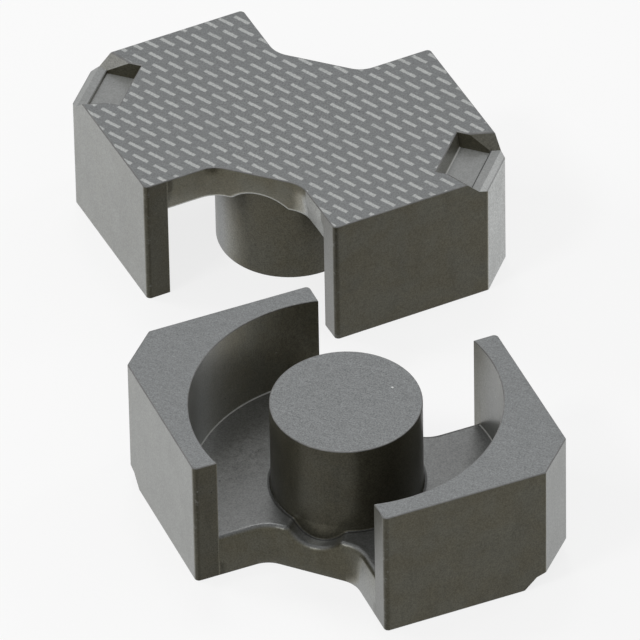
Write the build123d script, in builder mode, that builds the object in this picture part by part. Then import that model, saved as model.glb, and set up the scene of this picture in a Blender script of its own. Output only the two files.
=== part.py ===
from build123d import *
import os
from math import atan2, degrees, radians, sin, sqrt, tan

# Rectangular module ferrite core: two equal pressed and sintered halves.
# The front half lies on its back face with its centre post up.
# The rear half is turned over and stands on its pole faces, with its back face up.
# Millimetres. Origin at the centre of the front half's back face, X along the core, +Z up.

# Plan of one half
face_width = 29.3              # over two opposite outer faces, which stand at 45 degrees
end_width = 4.54               # flat that cuts off each end of the long axis
tip_reach = 2.83               # how far each outer wall runs on past the plan's diagonal
notch_radius = 2.4             # hollow corner between a notch and the waist
tip_radius = 0.4              # outer corner of each wall tip
end_edge_radius = 0.25         # upright edges of the cut ends

# Heights of one half
half_height = 12.25            # back face to ground pole faces
plate_thickness = 3.65         # back face to winding floor
plate_land = 1.0               # upright part of the plate's sides, next to the back face
plate_draft = 9                # degrees, how the plate's sides lean in above the land

# Winding space
wall_thickness = 1.75          # each outer wall at its thinnest, in the middle of a face
post_diameter = 12.6           # solid centre post
web_width = 1.575              # floor between the post and each waist face
plate_edge_radius = 0.6        # rounded upper edge of the plate along notches and waist
post_foot_radius = 0.15        # post to winding floor
post_foot_flare = 0.06         # how much wider the post is at its very foot

# Scoop across the narrow web between the post and each waist face
scoop_width = 5.3
scoop_depth = 1.1
scoop_shoulder_radius = 0.65

# Clamp recess in the back face at each end
recess_length = 3.3            # from the lip to the recess's inner wall
recess_width = 5.5
recess_depth = 1.4
recess_draft = 13              # degrees, walls of the recess
lip_width = 1.1                # low lip between the recess floor and the end face
lip_depth = 1.15               # back face down to the lip's land
lip_bevel_width = 0.57         # outer, sloping part of the lip
lip_bevel_drop = 0.27
mouth_length = 3.43            # from the end face to where the recess walls begin to flare
mouth_flare = 24               # degrees from X, in plan
mouth_slope = 43               # degrees from upright

# Where the rear half stands
rear_offset_x = -18.2
rear_offset_y = 31.8
rear_turn = 3.2                # degrees about Z

half_face = face_width / 2
half_end = end_width / 2
half_length = half_face * sqrt(2) - half_end
half_waist = post_diameter / 2 + web_width
tip_x = (half_face - tip_reach) / sqrt(2)
tip_y = (half_face + tip_reach) / sqrt(2)
winding_diameter = face_width - 2 * wall_thickness
foot_top = plate_thickness + post_foot_radius + post_foot_flare
foot_bottom = plate_thickness - scoop_depth
plate_lean = (plate_thickness - plate_land) * tan(radians(plate_draft))
beyond = 3.0                   # how far cutting shapes run past the core


def on_plate_edge(edge):
    """True for the plate's upper edges along the notches and the waist."""
    middle = edge.center()
    inside_tips = abs(middle.X) < tip_x and abs(middle.Y) > half_waist - plate_lean - 0.01
    return inside_tips and middle.Z > foot_bottom - 0.1


def on_upright_corner(edge):
    """True for the upright edges of the wall tips."""
    middle = edge.center()
    return abs(abs(middle.X) - tip_x) < 0.01 and abs(abs(middle.Y) - tip_y) < 0.01


def on_post_foot(edge):
    """True for the edges where the post meets the winding floor and the scoops."""
    start = edge @ 0
    off_post = sqrt(start.X ** 2 + start.Y ** 2) - post_diameter / 2
    return -0.01 < off_post < 2 * post_foot_flare and 0 < edge.center().Z < foot_top - 0.01


# Plan of one half: cut ends, 45 degree outer faces, wall tips, notches and waist
waist_corner = (half_waist - tip_reach * sqrt(2), half_waist)
with BuildSketch() as plan:
    with BuildLine():
        FilletPolyline(
            (half_length, 0),
            (half_length, half_end),
            (tip_x, tip_y),
            waist_corner,
            (0, half_waist),
            radius=(0, 0, notch_radius),
        )
        mirror(about=Plane.XZ)
        mirror(about=Plane.YZ)
    make_face()

# Section of the scoop: a hollow arc between two rounded shoulders, open above
scoop_reach = scoop_width / 2
scoop_turn = 2 * atan2(scoop_depth, scoop_reach)
scoop_hollow_radius = scoop_reach / sin(scoop_turn) - scoop_shoulder_radius
scoop_top = plate_thickness + beyond

with BuildPart() as front_core_half:
    # Plate with drafted sides, scooped across its two narrow webs and rounded along its upper inner edge
    with BuildSketch():
        add(plan.sketch)
    extrude(amount=plate_land)
    with BuildSketch(Plane.XY.offset(plate_land)):
        add(plan.sketch)
    extrude(amount=plate_thickness - plate_land, taper=plate_draft)
    with BuildSketch(Plane.XZ):
        with BuildLine():
            left = JernArc((-scoop_reach, plate_thickness), (1, 0), scoop_shoulder_radius, -degrees(scoop_turn))
            hollow = JernArc(left @ 1, left % 1, scoop_hollow_radius, 2 * degrees(scoop_turn))
            right = JernArc(hollow @ 1, hollow % 1, scoop_shoulder_radius, -degrees(scoop_turn))
            Polyline(right @ 1, (scoop_reach, scoop_top), (-scoop_reach, scoop_top), left @ 0)
        make_face()
    extrude(amount=half_face, both=True, mode=Mode.SUBTRACT)
    fillet(front_core_half.edges().filter_by(on_plate_edge), radius=plate_edge_radius)

    # Two outer walls with hollow inner faces
    with BuildSketch():
        add(plan.sketch)
        Circle(winding_diameter / 2, mode=Mode.SUBTRACT)
    extrude(amount=half_height)
    uprights = front_core_half.edges().filter_by(Axis.Z)
    fillet(uprights.filter_by(on_upright_corner), radius=tip_radius)
    ends = front_core_half.edges().filter_by(Axis.Z).group_by(lambda edge: abs(edge.center().X))[-1]
    fillet(ends, radius=end_edge_radius)

    # Solid centre post, a hair wider at its foot
    with BuildSketch():
        Circle(post_diameter / 2)
    extrude(amount=half_height)
    foot_centre = (foot_top + foot_bottom) / 2
    with Locations((0, 0, foot_centre)):
        Cone(post_diameter / 2 + post_foot_flare, post_diameter / 2, foot_top - foot_bottom)
    fillet(front_core_half.edges().filter_by(on_post_foot), radius=post_foot_radius)

    # Clamp recess with its flared mouth at each end of the back face
    recess_centre = half_length - lip_width - recess_length / 2
    with BuildSketch():
        with Locations((recess_centre, 0), (-recess_centre, 0)):
            Rectangle(recess_length, recess_width)
    extrude(amount=recess_depth, taper=recess_draft, mode=Mode.SUBTRACT)
    mouth_start = half_length - mouth_length
    mouth_reach = half_length + beyond
    mouth_half_width = recess_width / 2 + (mouth_length + beyond) * tan(radians(mouth_flare))
    with BuildSketch():
        with BuildLine():
            Polyline(
                (mouth_start, -recess_width / 2),
                (mouth_reach, -mouth_half_width),
                (mouth_reach, mouth_half_width),
                (mouth_start, recess_width / 2),
                close=True,
            )
        make_face()
        mirror(about=Plane.YZ)
    extrude(amount=lip_depth, taper=mouth_slope, mode=Mode.SUBTRACT)
    bevel_start = half_length - lip_bevel_width
    bevel_slope = lip_bevel_drop / lip_bevel_width
    with BuildSketch(Plane.XZ):
        with BuildLine():
            Polyline(
                (bevel_start, lip_depth),
                (bevel_start + beyond, lip_depth + beyond * bevel_slope),
                (bevel_start + beyond, -beyond),
                (bevel_start, -beyond),
                close=True,
            )
        make_face()
        mirror(about=Plane.YZ)
    extrude(amount=half_face, both=True, mode=Mode.SUBTRACT)

with BuildPart() as rear_core_half:
    with Locations((rear_offset_x, rear_offset_y, half_height)):
        add(front_core_half.part, rotation=(180, 0, -rear_turn))

front_core_half.part.label = "front_core_half"
rear_core_half.part.label = "rear_core_half"
os.makedirs("parts", exist_ok=True)
export_step(front_core_half.part, "parts/front_core_half.step")
export_step(rear_core_half.part, "parts/rear_core_half.step")
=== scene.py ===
import math
from types import SimpleNamespace

import bmesh
import bpy
from bpy.props import FloatProperty, FloatVectorProperty, IntProperty, PointerProperty
from bpy.types import Operator, Panel, PropertyGroup
from mathutils import Euler, Matrix, Vector


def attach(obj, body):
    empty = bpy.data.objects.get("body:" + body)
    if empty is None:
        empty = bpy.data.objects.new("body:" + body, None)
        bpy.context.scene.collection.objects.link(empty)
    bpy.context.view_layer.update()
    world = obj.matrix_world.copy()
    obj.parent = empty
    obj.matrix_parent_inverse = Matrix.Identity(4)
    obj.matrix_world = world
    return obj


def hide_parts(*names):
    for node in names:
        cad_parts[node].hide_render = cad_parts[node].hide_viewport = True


bl_info = {
    "name": "Rectangular Module Ferrite Core",
    "version": (1, 0, 0),
    "blender": (4, 5, 0),
    "location": "3D View > Sidebar > Ferrite Core",
    "description": "Finishes the two halves of a ferrite core and sets up a small studio",
    "category": "Object",
}

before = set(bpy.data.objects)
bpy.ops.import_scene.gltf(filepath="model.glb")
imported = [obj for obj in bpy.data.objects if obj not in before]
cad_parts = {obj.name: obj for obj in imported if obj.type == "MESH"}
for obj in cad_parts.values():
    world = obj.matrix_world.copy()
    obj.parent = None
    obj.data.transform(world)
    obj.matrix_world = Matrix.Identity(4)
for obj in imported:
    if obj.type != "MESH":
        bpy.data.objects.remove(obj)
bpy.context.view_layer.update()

MM = 0.001

# Sizes in millimetres in a half's own place, where its back face is at zero and its pole faces are up
HALF_LENGTH = 18.44
HALF_HEIGHT = 12.25
FLOOR_HEIGHT = 3.65                 # winding floor
POST_RADIUS = 6.3
POST_FOOT = 6.46                    # middle of the painted shade line round the post's foot
WINDING_RADIUS = 12.9
TIP_CORNER = (8.36, 12.36)          # outer upright corner of each wall tip
TIP_FOOT = 10.7                     # inner end of each wall tip, to the front or rear
WEB_REACH = 7.2                     # from the middle to where the notches end
PALE_GRAIN = (2.89, 3.00, 12.25)    # in the front half's post face

# The clamp recesses, from the middle outwards and from the back face down
RECESS_WALL = 14.371                # foot of the inner wall
RECESS_DEPTH = 1.4
MOUTH_START = 15.0                  # where the mouth begins to flare
LIP_START = 17.11
LIP_SLOPE = 17.87                   # where the lip begins to slope
LIP_DEPTH = 1.15

NEAR = 0.02                         # how closely an edge lies on a face that it is looked for on

# Ticks printed on the back face, in millimetres
TICK_SLANT = math.radians(19.6)
TICK_PITCH = 2.15
TICK_ROW = 1.02

# Where each half's own place is
FRONT_PLACE = Matrix()
REAR_MIDDLE = Vector((-18.2, 31.8, HALF_HEIGHT)) * MM
REAR_PLACE = Matrix.LocRotScale(REAR_MIDDLE, Euler((math.pi, 0, math.radians(3.2))), None)

FERRITE_IOR = 2.3
PIT_COLOUR = (0.012, 0.012, 0.011, 1)
# Painted shade: colour of the dark line along the edges of the recess lips
LIP_PAINTED_SHADE = (0.015, 0.015, 0.014, 1)
# Painted shade: colour of the dark line in the crease round the post's foot
FOOT_PAINTED_SHADE = (0.010, 0.010, 0.009, 1)
OLIVE_GLOSS = (1.0, 0.98, 0.79, 1)
BROWN_GLOSS = (1.0, 0.93, 0.68, 1)
GREY_GLOSS = (0.98, 1.0, 0.995, 1)

# Each lamp's place and width in metres, the name of its power and whether glossy faces mirror it
LAMPS = {
    "left_lamp": ((-0.49, 0.00, 0.09), 0.16, "left_power", False),
    "right_lamp": ((0.25, 0.41, 0.38), 0.12, "right_power", True),
    "front_lamp": ((-0.20, -0.33, 0.47), 0.12, "front_power", True),
    "top_lamp": ((-0.12, 0.22, 0.52), 0.12, "top_power", True),
}
LAMP_AIM = Vector((0, 0.01, 0))
FLOOR_WIDTH = 2.4
FLOOR_MIDDLE = (0, 0.2, 0)
FLOOR_PAINT = (0.86, 0.86, 0.86, 1)
FLOOR_WHITE = 0.80                  # share of the floor that looks plain white, the rest keeps the shadow


def deselect_all():
    bpy.ops.object.select_all(action="DESELECT")


def select_only(piece):
    deselect_all()
    piece.select_set(True)
    bpy.context.view_layer.objects.active = piece


def edit(piece):
    select_only(piece)
    bpy.ops.object.mode_set(mode="EDIT")


def leave_edit():
    bpy.ops.object.mode_set(mode="OBJECT")


class Nodes:
    """Adds nodes to one material or world from left to right and links them."""

    def __init__(self, tree):
        self.tree = tree
        self.column = 0

    def add(self, kind, label="", **settings):
        node = self.tree.nodes.new(kind)
        node.label = label
        node.location = (self.column * 190, -(self.column % 3) * 180)
        self.column += 1
        for name, value in settings.items():
            setattr(node, name, value)
        return node

    def link(self, source, target):
        self.tree.links.new(source, target)

    def put(self, socket, value):
        """Links an output to a socket, or sets the socket to a number."""
        if hasattr(value, "is_output"):
            self.link(value, socket)
        else:
            socket.default_value = value

    def math(self, operation, a, b=0.0, label=""):
        node = self.add("ShaderNodeMath", label, operation=operation)
        self.put(node.inputs[0], a)
        self.put(node.inputs[1], b)
        return node.outputs[0]

    def plus(self, a, b, label=""):
        return self.math("ADD", a, b, label)

    def minus(self, a, b, label=""):
        return self.math("SUBTRACT", a, b, label)

    def times(self, a, b, label=""):
        return self.math("MULTIPLY", a, b, label)

    def most(self, a, b):
        return self.math("MAXIMUM", a, b)

    def size(self, a):
        return self.math("ABSOLUTE", a)

    def ramp(self, value, low, high, to_low=0.0, to_high=1.0, label=""):
        """Smooth step of value from low to high."""
        node = self.add("ShaderNodeMapRange", label, interpolation_type="SMOOTHSTEP")
        self.put(node.inputs["Value"], value)
        self.put(node.inputs["From Min"], low)
        self.put(node.inputs["From Max"], high)
        self.put(node.inputs["To Min"], to_low)
        self.put(node.inputs["To Max"], to_high)
        return node.outputs["Result"]

    def near(self, value, middle, outer, inner, full=1.0):
        """Soft band: 0 further than outer from the middle, and full nearer than inner."""
        return self.ramp(self.size(self.minus(value, middle)), outer, inner, 0.0, full)

    def scaled(self, value, mask, factor, label=""):
        """The value, multiplied by factor where the mask is 1."""
        return self.times(value, self.ramp(mask, 0.0, 1.0, 1.0, factor), label)

    def blend(self, factor, a, b, label="", blend_type="MIX"):
        node = self.add("ShaderNodeMix", label, data_type="RGBA", blend_type=blend_type)
        self.put(node.inputs["Factor"], factor)
        self.put(node.inputs["A"], a)
        self.put(node.inputs["B"], b)
        return node.outputs["Result"]

    def shades(self, factor, colour, dark, light, label=""):
        """From one shade of a colour to another."""
        return self.blend(factor, tinted(colour, dark), tinted(colour, light), label)

    def axes(self, vector):
        node = self.add("ShaderNodeSeparateXYZ")
        self.link(vector, node.inputs[0])
        return node.outputs

    def turned(self, vector, angle=0.0, scale=(1, 1, 1), label=""):
        node = self.add("ShaderNodeMapping", label)
        node.inputs["Rotation"].default_value = (0, 0, angle)
        node.inputs["Scale"].default_value = scale
        self.link(vector, node.inputs["Vector"])
        return node.outputs["Vector"]

    def chance(self, x, y, label=""):
        """One random number for each whole x and y."""
        cell = self.add("ShaderNodeCombineXYZ", label)
        self.link(x, cell.inputs["X"])
        self.link(y, cell.inputs["Y"])
        node = self.add("ShaderNodeTexWhiteNoise", label, noise_dimensions="2D")
        self.link(cell.outputs[0], node.inputs["Vector"])
        return node.outputs["Value"]

    def spots(self, vector, scale, radius, share, label=""):
        """Small round spots of the given radius in a share of the pattern's cells."""
        node = self.add("ShaderNodeTexVoronoi", label)
        self.link(vector, node.inputs["Vector"])
        node.inputs["Scale"].default_value = scale
        pick = self.add("ShaderNodeSeparateColor", label)
        self.link(node.outputs["Color"], pick.inputs[0])
        chosen = self.math("LESS_THAN", pick.outputs["Red"], share, label)
        spread = self.times(pick.outputs["Green"], radius * scale, label)
        spot = self.ramp(node.outputs["Distance"], spread, 0.0, label=label)
        return self.times(spot, chosen, label)

    def noise(self, vector, scale, detail, roughness, label=""):
        node = self.add("ShaderNodeTexNoise", label)
        self.link(vector, node.inputs["Vector"])
        node.inputs["Scale"].default_value = scale
        node.inputs["Detail"].default_value = detail
        node.inputs["Roughness"].default_value = roughness
        return node.outputs["Fac"]

    def distance(self, vector, place, label=""):
        node = self.add("ShaderNodeVectorMath", label, operation="DISTANCE")
        self.link(vector, node.inputs[0])
        node.inputs[1].default_value = place
        return node.outputs["Value"]

    def to_output(self, shader):
        """Adds the material's output node and links the shader to it."""
        result = self.add("ShaderNodeOutputMaterial")
        self.link(shader.outputs[0], result.inputs["Surface"])


class EdgeSettings(PropertyGroup):
    edge_round: FloatProperty(
        name="Edge rounding", description="Width of the tumbled, slightly rounded edges",
        default=0.00009, unit="LENGTH")
    edge_steps: IntProperty(
        name="Edge steps", description="Facets across a rounded edge", default=2, min=1, max=4)


class FinishSettings(PropertyGroup):
    pressed_colour: FloatVectorProperty(
        name="Pressed ferrite", description="Colour of the sides as they leave the press and the kiln",
        default=(0.032, 0.030, 0.021), subtype="COLOR")
    level_colour: FloatVectorProperty(
        name="Level pressed faces", description="Colour of the winding floor and the recess floors",
        default=(0.040, 0.041, 0.040), subtype="COLOR")
    ground_colour: FloatVectorProperty(
        name="Ground ferrite", description="Colour of the ground pole faces",
        default=(0.046, 0.051, 0.054), subtype="COLOR")
    # Painted highlight: the rounded edges take this lighter colour, which the real chips use too
    wear_and_highlight_colour: FloatVectorProperty(
        name="Worn and highlit edge", description="Colour of the worn edges, lighter as a painted highlight",
        default=(0.16, 0.162, 0.155), subtype="COLOR")
    ink_colour: FloatVectorProperty(
        name="Ink ticks", description="Colour of the pale ticks on the back faces",
        default=(0.42, 0.43, 0.42), subtype="COLOR")


class StudioSettings(PropertyGroup):
    view_target: FloatVectorProperty(
        name="Aim point", description="Point that the camera looks at",
        default=(-0.00868, 0.01539, 0.006), subtype="TRANSLATION")
    view_distance: FloatProperty(
        name="Camera distance", description="From the aim point to the camera",
        default=1.0569, unit="LENGTH")
    view_azimuth: FloatProperty(
        name="Azimuth", description="Camera's turn to the right of the front",
        default=math.radians(22.96), subtype="ANGLE")
    view_elevation: FloatProperty(
        name="Elevation", description="Camera's height angle",
        default=math.radians(40.62), subtype="ANGLE")
    view_roll: FloatProperty(
        name="Roll", description="Camera's lean", default=math.radians(-1.08), subtype="ANGLE")
    lens: FloatProperty(
        name="Lens", description="Focal length in millimetres", default=715.4)
    room_light: FloatProperty(
        name="Room light", description="Strength of the even room light", default=0.6)
    left_power: FloatProperty(
        name="Left lamp", description="Power of the low lamp at the left", default=1.5)
    right_power: FloatProperty(
        name="Right lamp", description="Power of the lamp behind at the right", default=0.25)
    front_power: FloatProperty(
        name="Front lamp", description="Power of the small lamp over the front", default=0.7)
    top_power: FloatProperty(
        name="Top lamp", description="Power of the small lamp overhead", default=0.35)


def tinted(colour, factor=1.0):
    return (*[channel * factor for channel in colour], 1)


def new_material(name):
    """Material with an empty node tree, and what adds nodes to it."""
    material = bpy.data.materials.new(name)
    material.use_nodes = True
    material.node_tree.nodes.clear()
    return material, Nodes(material.node_tree)


def half_point(nodes, place):
    """Point in a half's own place in millimetres, and the way that its face looks."""
    coordinates = nodes.add("ShaderNodeTexCoord")
    to_half = nodes.add("ShaderNodeMapping", "into the half's own place", vector_type="TEXTURE")
    to_half.inputs["Location"].default_value = place.to_translation()
    to_half.inputs["Rotation"].default_value = place.to_euler()
    to_half.inputs["Scale"].default_value = (MM, MM, MM)
    nodes.link(coordinates.outputs["Object"], to_half.inputs["Vector"])
    return to_half.outputs["Vector"], coordinates.outputs["Normal"]


def half_faces(nodes, place, back_up):
    """Where a point of a half is, and for each kind of face, 1 on that face and 0 elsewhere."""
    point, normal = half_point(nodes, place)
    x, y, z = nodes.axes(point)
    off_centre, off_side = nodes.size(x), nodes.size(y)
    off_axis = nodes.math("SQRT", nodes.plus(nodes.times(x, x), nodes.times(y, y)))
    upright = nodes.times(nodes.axes(normal)[2], -1.0 if back_up else 1.0, "pole side up")

    at_poles = nodes.ramp(z, HALF_HEIGHT - 0.05, HALF_HEIGHT - 0.01)
    ground = nodes.times(nodes.ramp(upright, 0.9, 0.98), at_poles, "ground pole face")
    at_back = nodes.ramp(z, 0.05, 0.01)
    back = nodes.times(nodes.ramp(upright, -0.9, -0.98), at_back, "back face")
    left_mouth = (-MOUTH_START - 0.1, -MOUTH_START + 0.2)
    slope_limit = nodes.ramp(x, *left_mouth, 0.25, 0.55, "left mouth finished like a level face")
    level = nodes.ramp(nodes.size(upright), slope_limit, 0.92, label="level faces")
    side = nodes.minus(1.0, level, "upright faces")

    in_recess = nodes.times(nodes.ramp(z, RECESS_DEPTH + 0.2, RECESS_DEPTH + 0.1),
                            nodes.ramp(z, LIP_DEPTH - 0.15, LIP_DEPTH - 0.05))
    recess_floor = nodes.times(in_recess, nodes.ramp(upright, -0.84, -0.89))
    on_lip = nodes.times(in_recess, nodes.ramp(upright, -0.5, -0.8))
    lip_slope = nodes.times(on_lip, nodes.ramp(off_centre, LIP_SLOPE - 0.02, LIP_SLOPE + 0.02))
    flared = nodes.times(nodes.ramp(upright, -0.5, -0.6), nodes.ramp(upright, -0.83, -0.75))
    flared_left = nodes.times(flared, nodes.ramp(x, *reversed(left_mouth)))

    inner_wall = nodes.times(nodes.near(off_axis, WINDING_RADIUS, 0.08, 0.04), side)
    tip_plane = TIP_CORNER[1] - TIP_CORNER[0]
    on_tip_plane = nodes.ramp(nodes.minus(off_side, off_centre), tip_plane - 0.10, tip_plane - 0.04)
    tip_face = nodes.times(on_tip_plane, nodes.ramp(off_side, TIP_FOOT - 0.3, TIP_FOOT))
    tip_corner = nodes.times(nodes.near(off_centre, TIP_CORNER[0], 0.42, 0.18),
                             nodes.ramp(off_side, TIP_CORNER[1] - 0.4, TIP_CORNER[1] - 0.25))
    in_web = nodes.times(nodes.ramp(off_centre, WEB_REACH, WEB_REACH - 0.3),
                         nodes.ramp(off_side, TIP_FOOT, TIP_FOOT - 0.3))
    under_floor = nodes.ramp(z, FLOOR_HEIGHT + 0.05, FLOOR_HEIGHT - 0.15)
    web_side = nodes.times(in_web, nodes.times(under_floor, side))
    on_post = nodes.times(nodes.ramp(off_axis, POST_RADIUS + 0.4, POST_RADIUS + 0.2),
                          nodes.ramp(z, FLOOR_HEIGHT + 0.25, FLOOR_HEIGHT + 0.65))
    post_side = nodes.times(on_post, side)
    return SimpleNamespace(
        point=point, x=x, z=z, off_centre=off_centre, off_axis=off_axis,
        ground=ground, back=back, flat=nodes.most(ground, back), level=level,
        recess_floor=recess_floor, on_lip=on_lip, lip_slope=lip_slope, flared_left=flared_left,
        inner_wall=inner_wall, tip_face=tip_face, tip_corner=tip_corner, web_side=web_side,
        post_side=post_side)


def half_patterns(nodes, faces):
    """Grain, tool marks and pits of a half, and its painted shade lines at the lips and round the post's
    foot.
    """
    point = faces.point
    lapped = nodes.turned(point, scale=(0.6, 5.0, 1.0))
    drawn_out = nodes.turned(point, scale=(0.9, 0.9, 0.22))
    grain = nodes.noise(point, 3.2, 4.0, 0.75, "sintered grain")
    crystals = nodes.noise(point, 7.5, 2.0, 0.6, "single grains")
    speckle = nodes.plus(nodes.ramp(grain, 0.25, 0.75, -0.18, 0.12),
                         nodes.ramp(crystals, 0.25, 0.75, -0.28, 0.36), "speckle")
    contrast = nodes.minus(nodes.ramp(faces.flat, 0.0, 1.0, 0.8, 0.95),
                           nodes.times(faces.recess_floor, 0.3))
    off_post = nodes.ramp(faces.off_axis, POST_RADIUS, POST_RADIUS + 0.2, 1.0, 0.8)
    contrast = nodes.times(contrast, off_post, "finer off the post")
    # Painted shade line along the lip's inner edge and its outer end, stronger at the right
    lip_edges = nodes.most(nodes.near(faces.off_centre, LIP_START, 0.09, 0.04),
                           nodes.near(faces.off_centre, HALF_LENGTH, 0.15, 0.06, 0.65))
    more_right = nodes.ramp(faces.x, -MOUTH_START, MOUTH_START, 0.55, 0.9)
    # Painted shade in the crease round the post's foot
    foot_ring = nodes.times(nodes.near(faces.off_axis, POST_FOOT, 0.17, 0.07),
                            nodes.ramp(faces.z, FLOOR_HEIGHT + 0.45, FLOOR_HEIGHT + 0.25))
    return SimpleNamespace(
        cloud=nodes.noise(point, 0.22, 3.0, 0.55, "slow change of tone"),
        patina=nodes.noise(point, 0.35, 4.0, 0.6, "olive and brown patches"),
        grain=grain,
        crystals=crystals,
        mottle=nodes.plus(nodes.times(speckle, contrast), 1.0, "mottle"),
        lapping=nodes.noise(lapped, 1.0, 3.0, 0.65, "grinding lines"),
        drawn=nodes.noise(drawn_out, 1.0, 4.0, 0.65, "press marks down the sides"),
        chips=nodes.noise(point, 1.3, 4.0, 0.7, "chips"),
        pits=nodes.spots(point, 0.8, 0.12, 0.40, "pits"),
        dust=nodes.spots(nodes.turned(point, 0.6), 0.62, 0.13, 0.10, "pale specks"),
        lip_painted_shade=nodes.times(nodes.times(lip_edges, faces.on_lip), more_right, "painted shade at the lip"),
        foot_painted_shade=nodes.times(foot_ring, nodes.ramp(faces.z, 1.9, 2.1, 0.0, 0.75), "painted shade at the foot"),
        ink=nodes.times(ink_ticks(nodes, point), faces.back, "ink on the back face"))


def ink_ticks(nodes, point):
    """Slanted ink ticks in staggered rows, with slightly uneven edges and ink."""
    along, across, _ = nodes.axes(nodes.turned(point, -TICK_SLANT, label="along the ticks"))
    uneven = nodes.noise(point, 3.0, 2.0, 0.6, "uneven ticks")
    row_place = nodes.math("DIVIDE", nodes.plus(across, nodes.times(uneven, 0.16)), TICK_ROW)
    row = nodes.math("FLOOR", row_place)
    stagger = nodes.times(row, 0.41, "stagger of the rows")
    tick_place = nodes.plus(nodes.math("DIVIDE", along, TICK_PITCH), stagger)
    luck = nodes.chance(nodes.math("FLOOR", tick_place), row, "each tick its own length")
    off_end = nodes.size(nodes.minus(nodes.math("FRACT", tick_place), 0.5))
    off_side = nodes.size(nodes.minus(nodes.math("FRACT", row_place), 0.5))
    reach = nodes.ramp(luck, 0.0, 1.0, 0.34, 0.40, "half length of a tick")
    length = nodes.ramp(off_end, reach, nodes.minus(reach, 0.06))
    width = nodes.ramp(off_side, 0.21, 0.11)
    thin_ink = nodes.ramp(nodes.noise(point, 6.5, 3.0, 0.7, "thin ink"), 0.35, 0.60, 0.50, 1.0)
    shape = nodes.times(nodes.times(length, width), thin_ink)
    return nodes.times(shape, nodes.ramp(luck, 0.0, 0.3, 0.7, 0.9), "ink ticks")


def face_colour(nodes, faces, patterns, finish):
    """Colour of the pressed and the ground faces, without marks."""
    side = nodes.shades(nodes.ramp(patterns.cloud, 0.35, 0.65), finish.pressed_colour, 0.9, 1.1,
                        "pressed sides")
    side = nodes.blend(nodes.ramp(patterns.drawn, 0.45, 0.8), side,
                       tinted(finish.pressed_colour, 0.72), "down the sides")
    floor = nodes.shades(nodes.ramp(patterns.cloud, 0.3, 0.7), finish.level_colour, 0.9, 1.1,
                         "pressed level faces")
    pressed = nodes.blend(faces.level, side, floor, "sides or level faces")
    polished = nodes.shades(nodes.ramp(patterns.lapping, 0.3, 0.7), finish.ground_colour, 0.93, 1.07,
                            "ground faces")
    polished = nodes.blend(faces.back, polished, tinted(finish.ground_colour, 0.8),
                           "duller back face")
    colour = nodes.blend(faces.flat, pressed, polished, "pressed or ground")
    colour = nodes.blend(faces.recess_floor, colour, tinted(finish.level_colour, 3.2),
                         "lighter recess floor")
    grey = nodes.add("ShaderNodeCombineColor", "mottle as a grey")
    for channel in grey.inputs:
        nodes.link(patterns.mottle, channel)
    return nodes.blend(1.0, colour, grey.outputs[0], "mottled", "MULTIPLY")


def marked_colour(nodes, faces, patterns, colour, back_up, finish):
    """The colour with pits, specks, painted shade lines, chips and ink over it."""
    colour = nodes.blend(nodes.times(patterns.pits, 0.8), colour, PIT_COLOUR, "dark pits")
    colour = nodes.blend(nodes.times(patterns.dust, 0.7), colour, tinted(finish.ink_colour),
                         "pale specks")
    # Painted shade along the recess lips
    colour = nodes.blend(patterns.lip_painted_shade, colour, LIP_PAINTED_SHADE, "painted shade line at the lip")
    # Painted shade in the crease round the post's foot
    colour = nodes.blend(patterns.foot_painted_shade, colour, FOOT_PAINTED_SHADE, "painted shade line round the post's foot")
    chipped = nodes.times(faces.tip_corner, nodes.ramp(patterns.chips, 0.54, 0.76))
    colour = nodes.blend(chipped, colour, tinted(finish.wear_and_highlight_colour, 0.8),
                         "light chips on the upright corners")
    if not back_up:
        off_grain = nodes.distance(faces.point, PALE_GRAIN, "distance to the pale grain")
        colour = nodes.blend(nodes.ramp(off_grain, 0.13, 0.06), colour,
                             tinted(finish.ink_colour, 1.3), "pale grain in the post's face")
    return nodes.blend(patterns.ink, colour, tinted(finish.ink_colour), "inked")


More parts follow.
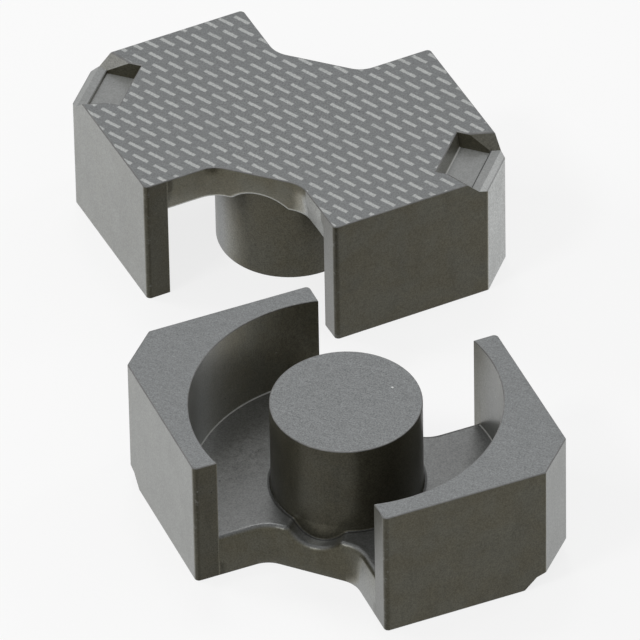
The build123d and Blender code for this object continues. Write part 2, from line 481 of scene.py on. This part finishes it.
def face_gloss(nodes, faces, patterns, back_up, facing, glance):
    """Strength of the gloss: more at a glancing view, and different on each kind of face."""
    plain_gloss = nodes.ramp(faces.inner_wall, 0.0, 1.0, 0.175, 0.42)
    glance_gloss = nodes.ramp(faces.inner_wall, 0.0, 1.0, 0.875, 0.36)
    side_gloss = nodes.plus(plain_gloss, nodes.times(glance, glance_gloss))
    open_gloss = nodes.ramp(facing, 0.03, 0.30, 0.24, 0.45)
    level_gloss = nodes.times(nodes.minus(open_gloss, side_gloss), faces.level)
    gloss = nodes.times(nodes.plus(side_gloss, level_gloss), patterns.mottle)
    patches = nodes.times(nodes.ramp(patterns.patina, 0.3, 0.7, 1.04, 0.95),
                          nodes.ramp(patterns.drawn, 0.45, 0.8, 1.02, 0.95))
    streaks = nodes.ramp(patterns.lapping, 0.3, 0.7, 0.94, 1.05)
    worked = nodes.plus(patches, nodes.times(nodes.minus(streaks, patches), faces.flat))
    gloss = nodes.times(gloss, worked, "patches on the sides, grinding lines on the flats")
    gloss = nodes.scaled(gloss, faces.back, 0.94, "duller back face")
    gloss = nodes.scaled(gloss, faces.tip_face, 0.6, "duller wall tips")
    gloss = nodes.scaled(gloss, faces.lip_slope, 1.2, "brighter slope of the lip")
    if back_up:
        gloss = nodes.scaled(gloss, faces.web_side, 1.5, "brighter web")
        gloss = nodes.scaled(gloss, faces.flared_left, 2.1, "brighter left mouth")
        end_gloss = nodes.ramp(faces.off_centre, HALF_LENGTH - 0.14, HALF_LENGTH - 0.04, 1.0, 1.45)
        gloss = nodes.times(gloss, end_gloss, "brighter end faces")
    else:
        gloss = nodes.scaled(gloss, faces.post_side, 0.5, "duller post")
    # The painted shade lines lose their gloss too, so that they stay dark
    painted_shade_lines = nodes.most(patterns.lip_painted_shade, patterns.foot_painted_shade)
    dull = nodes.times(nodes.most(patterns.pits, painted_shade_lines), 0.85)
    dull = nodes.most(dull, nodes.times(faces.tip_corner, 0.35))
    return nodes.times(gloss, nodes.minus(1.0, dull), "no gloss in pits and painted shade lines")


def gloss_tint(nodes, faces, patterns, glance):
    """Warmer gloss on the pressed sides where they are seen openly."""
    side_tint = nodes.blend(nodes.ramp(patterns.patina, 0.35, 0.65), OLIVE_GLOSS, BROWN_GLOSS,
                            "olive to brown")
    return nodes.blend(nodes.most(faces.level, glance), side_tint, GREY_GLOSS, "grey elsewhere")


def surface_relief(nodes, faces, patterns):
    """Normal of the grainy surface with its pits and grinding lines."""
    relief = nodes.plus(patterns.grain, nodes.times(patterns.crystals, 0.5))
    relief = nodes.minus(relief, nodes.times(patterns.pits, 1.2))
    relief = nodes.plus(relief, nodes.times(nodes.times(patterns.lapping, faces.flat), 0.6))
    bump = nodes.add("ShaderNodeBump", "surface relief")
    bump.inputs["Strength"].default_value = 0.35
    bump.inputs["Distance"].default_value = 0.02 * MM
    nodes.link(relief, bump.inputs["Height"])
    return bump.outputs["Normal"]


def ferrite_material(name, place, back_up, finish):
    """Pressed and sintered ferrite with ground pole faces and ticks on the back face."""
    material, nodes = new_material(name)
    faces = half_faces(nodes, place, back_up)
    patterns = half_patterns(nodes, faces)
    colour = face_colour(nodes, faces, patterns, finish)
    colour = marked_colour(nodes, faces, patterns, colour, back_up, finish)
    facing = nodes.add("ShaderNodeLayerWeight", "more gloss at a glancing view").outputs["Facing"]
    glance = nodes.ramp(facing, 0.35, 0.72)
    rough = nodes.ramp(patterns.grain, 0.2, 0.8, 0.27, 0.42, "roughness")

    shader = nodes.add("ShaderNodeBsdfPrincipled")
    shader.inputs["IOR"].default_value = FERRITE_IOR
    nodes.link(colour, shader.inputs["Base Color"])
    gloss = face_gloss(nodes, faces, patterns, back_up, facing, glance)
    nodes.link(gloss, shader.inputs["Specular IOR Level"])
    nodes.link(gloss_tint(nodes, faces, patterns, glance), shader.inputs["Specular Tint"])
    nodes.link(nodes.plus(rough, nodes.times(patterns.ink, 0.25)), shader.inputs["Roughness"])
    nodes.link(surface_relief(nodes, faces, patterns), shader.inputs["Normal"])
    nodes.to_output(shader)
    return material


def edge_material(name, place, finish):
    """Ferrite a little lighter along its rounded edges, partly rubbed and partly a painted highlight,
    with light flecks, and a painted highlight line where a wall meets the floor.
    """
    material, nodes = new_material(name)
    point, _ = half_point(nodes, place)
    _, _, z = nodes.axes(point)
    wear_and_highlight_colour = finish.wear_and_highlight_colour
    lengths = nodes.noise(point, 0.8, 3.0, 0.65, "lighter and darker lengths of edge")
    worn_and_highlit = nodes.ramp(lengths, 0.40, 0.70)
    fleck = nodes.ramp(nodes.noise(point, 2.8, 3.0, 0.7, "flecks"), 0.48, 0.70)
    # Painted highlight along the rounded edges, in lengths, over real wear
    colour = nodes.shades(worn_and_highlit, wear_and_highlight_colour, 0.26, 0.5, "worn lengths with a painted highlight")
    colour = nodes.blend(nodes.times(fleck, worn_and_highlit), colour, tinted(wear_and_highlight_colour, 0.7),
                         "light flecks")
    # Painted highlight line where the winding walls and the recess walls meet the floor
    painted_highlight_at_foot = nodes.times(nodes.ramp(z, FLOOR_HEIGHT + 0.65, FLOOR_HEIGHT + 0.35),
                          nodes.ramp(z, 1.0, 1.3), "inner corners")
    colour = nodes.blend(painted_highlight_at_foot, colour, tinted(wear_and_highlight_colour, 2.6),
                         "painted highlight line at an inner corner")
    shader = nodes.add("ShaderNodeBsdfPrincipled")
    shader.inputs["IOR"].default_value = FERRITE_IOR
    shader.inputs["Specular IOR Level"].default_value = 0.32
    rough = nodes.ramp(fleck, 0.0, 1.0, 0.45, 0.28, "roughness")
    nodes.link(rough, shader.inputs["Roughness"])
    nodes.link(colour, shader.inputs["Base Color"])
    nodes.to_output(shader)
    return material


def is_rounded_edge(edge, to_half):
    """True for the sharp edges that tumbling and handling have rounded, and for the corners at the foot
    of the recess walls and the winding walls, rounded to carry the painted highlight line.
    """
    if not edge.is_manifold or edge.calc_face_angle() < math.radians(30):
        return False
    ends = [(to_half @ vertex.co) / MM for vertex in edge.verts]
    if all(abs(end.z - HALF_HEIGHT) < NEAR for end in ends):
        return True
    if all(abs(end.z) < NEAR for end in ends):
        return True
    if all(abs(abs(end.x) - RECESS_WALL) < NEAR and abs(end.z - RECESS_DEPTH) < NEAR for end in ends):
        return True
    on_wall = all(abs(math.hypot(end.x, end.y) - WINDING_RADIUS) < NEAR for end in ends)
    return on_wall and all(end.z > FLOOR_HEIGHT - NEAR for end in ends)


def round_edges(piece, place, edges):
    """Merges a copied half's triangles and rounds its tumbled edges and the feet of its walls."""
    edit(piece)
    bpy.ops.mesh.select_all(action="SELECT")
    bpy.ops.mesh.remove_doubles(threshold=0.002 * MM)
    bpy.ops.mesh.dissolve_limited(angle_limit=math.radians(0.5))
    bpy.ops.mesh.select_all(action="DESELECT")
    to_half = place.inverted()
    mesh = bmesh.from_edit_mesh(piece.data)
    for edge in mesh.edges:
        if is_rounded_edge(edge, to_half):
            edge.select_set(True)
    bmesh.update_edit_mesh(piece.data)
    bpy.ops.mesh.bevel(offset=edges.edge_round, segments=edges.edge_steps, affect="EDGES",
                       clamp_overlap=False, material=1)
    leave_edit()


def smooth(piece):
    """Smooth shading that keeps flat faces flat up to their rounded edges."""
    bpy.ops.object.shade_smooth_by_angle(angle=math.radians(25))
    bpy.ops.object.modifier_add(type="WEIGHTED_NORMAL")
    weigh = piece.modifiers[-1]
    weigh.keep_sharp = True
    weigh.weight = 100
    bpy.ops.object.modifier_apply(modifier=weigh.name)


def dressed_half(node, place, name, materials, edges):
    """Copies a half, rounds its edges and gives it its finish."""
    select_only(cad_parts[node])
    bpy.ops.object.duplicate()
    piece = bpy.context.active_object
    piece.name = piece.data.name = name
    bpy.ops.mesh.customdata_custom_splitnormals_clear()
    piece.data.materials.clear()
    for material in materials:
        piece.data.materials.append(material)
    round_edges(piece, place, edges)
    smooth(piece)
    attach(piece, "root")
    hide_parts(node)
    return piece


class CORE_OT_dress_halves(Operator):
    """Adds both halves of the core with rounded edges and their ferrite finish"""

    bl_idname = "core.dress_halves"
    bl_label = "Dress halves"

    def execute(self, context):
        finish = context.scene.core_finish
        edges = context.scene.core_edges
        front = ferrite_material("front_ferrite_finish", FRONT_PLACE, False, finish)
        rear = ferrite_material("rear_ferrite_finish", REAR_PLACE, True, finish)
        front_edge = edge_material("front_worn_edge", FRONT_PLACE, finish)
        rear_edge = edge_material("rear_worn_edge", REAR_PLACE, finish)
        dressed_half("front_core_half", FRONT_PLACE, "front_half",
                     (front, front_edge), edges)
        dressed_half("rear_core_half", REAR_PLACE, "rear_half",
                     (rear, rear_edge), edges)
        return {"FINISHED"}


def seen_directly(nodes):
    """1 for what the camera, a mirror image or glass shows, and 0 for the light on the object."""
    path = nodes.add("ShaderNodeLightPath")
    seen = nodes.most(path.outputs["Is Camera Ray"], path.outputs["Is Transmission Ray"])
    return nodes.most(seen, path.outputs["Is Glossy Ray"])


def floor_material():
    """White floor that keeps a soft shadow of what stands on it."""
    material, nodes = new_material("pale_floor")
    paint = nodes.add("ShaderNodeBsdfDiffuse", "floor paint")
    paint.inputs["Color"].default_value = FLOOR_PAINT
    glow = nodes.add("ShaderNodeEmission", "white for the camera")
    glow.inputs["Strength"].default_value = 1.0
    mix = nodes.add("ShaderNodeMixShader")
    nodes.link(nodes.times(seen_directly(nodes), FLOOR_WHITE), mix.inputs["Fac"])
    nodes.link(paint.outputs[0], mix.inputs[1])
    nodes.link(glow.outputs[0], mix.inputs[2])
    nodes.to_output(mix)
    return material


class CORE_OT_build_stage(Operator):
    """Adds the pale floor, the soft lamps and the camera"""

    bl_idname = "core.build_stage"
    bl_label = "Build stage"

    def execute(self, context):
        studio = context.scene.core_studio
        deselect_all()
        bpy.ops.mesh.primitive_plane_add(size=FLOOR_WIDTH, location=FLOOR_MIDDLE)
        floor = context.active_object
        floor.name = "studio_floor"
        floor.data.materials.append(floor_material())
        for name, (place, width, power, mirrored) in LAMPS.items():
            self.add_lamp(context, name, Vector(place), width, getattr(studio, power), mirrored)
        self.set_world(context, studio)
        self.add_camera(context, studio)
        context.scene.view_settings.view_transform = "Standard"
        return {"FINISHED"}

    def add_lamp(self, context, name, place, width, power, mirrored):
        deselect_all()
        bpy.ops.object.light_add(type="AREA", location=place)
        lamp = context.active_object
        lamp.name = name
        lamp.data.size = width
        lamp.data.energy = power
        lamp.visible_glossy = mirrored
        lamp.rotation_euler = (LAMP_AIM - place).to_track_quat("-Z", "Y").to_euler()

    def set_world(self, context, studio):
        world = bpy.data.worlds.new("studio_room")
        context.scene.world = world
        world.use_nodes = True
        world.node_tree.nodes.clear()
        nodes = Nodes(world.node_tree)
        room = nodes.add("ShaderNodeBackground", "even room light")
        room.inputs["Strength"].default_value = studio.room_light
        white = nodes.add("ShaderNodeBackground", "white backdrop")
        white.inputs["Color"].default_value = (1, 1, 1, 1)
        mix = nodes.add("ShaderNodeMixShader")
        nodes.link(seen_directly(nodes), mix.inputs["Fac"])
        nodes.link(room.outputs[0], mix.inputs[1])
        nodes.link(white.outputs[0], mix.inputs[2])
        result = nodes.add("ShaderNodeOutputWorld")
        nodes.link(mix.outputs[0], result.inputs["Surface"])

    def add_camera(self, context, studio):
        deselect_all()
        level = math.cos(studio.view_elevation)
        away = Vector((math.sin(studio.view_azimuth) * level, -math.cos(studio.view_azimuth) * level,
                       math.sin(studio.view_elevation)))
        place = Vector(studio.view_target) + away * studio.view_distance
        bpy.ops.object.camera_add(location=place)
        camera = context.active_object
        camera.name = "studio_camera"
        turn = away.to_track_quat("Z", "Y").to_matrix() @ Matrix.Rotation(studio.view_roll, 3, "Z")
        camera.rotation_euler = turn.to_euler()
        camera.data.lens = studio.lens
        camera.data.sensor_width = 36
        camera.data.clip_start = 0.01
        camera.data.clip_end = 10
        context.scene.camera = camera


class CORE_PT_sidebar(Panel):
    """Shows the buttons and the settings for the core and its stage"""

    bl_idname = "CORE_PT_sidebar"
    bl_label = "Ferrite Core"
    bl_space_type = "VIEW_3D"
    bl_region_type = "UI"
    bl_category = "Ferrite Core"

    def draw(self, context):
        for operator in OPERATORS:
            self.layout.operator(operator.bl_idname)
        for group in (context.scene.core_edges, context.scene.core_finish, context.scene.core_studio):
            box = self.layout.box()
            for name in group.__annotations__:
                box.prop(group, name)


OPERATORS = (CORE_OT_dress_halves, CORE_OT_build_stage)
CLASSES = (EdgeSettings, FinishSettings, StudioSettings, *OPERATORS, CORE_PT_sidebar)


def register():
    for cls in CLASSES:
        bpy.utils.register_class(cls)
    bpy.types.Scene.core_edges = PointerProperty(type=EdgeSettings)
    bpy.types.Scene.core_finish = PointerProperty(type=FinishSettings)
    bpy.types.Scene.core_studio = PointerProperty(type=StudioSettings)


def unregister():
    del bpy.types.Scene.core_studio
    del bpy.types.Scene.core_finish
    del bpy.types.Scene.core_edges
    for cls in reversed(CLASSES):
        bpy.utils.unregister_class(cls)


def main():
    register()
    bpy.ops.core.dress_halves()
    bpy.ops.core.build_stage()


if __name__ == "__main__":
    main()
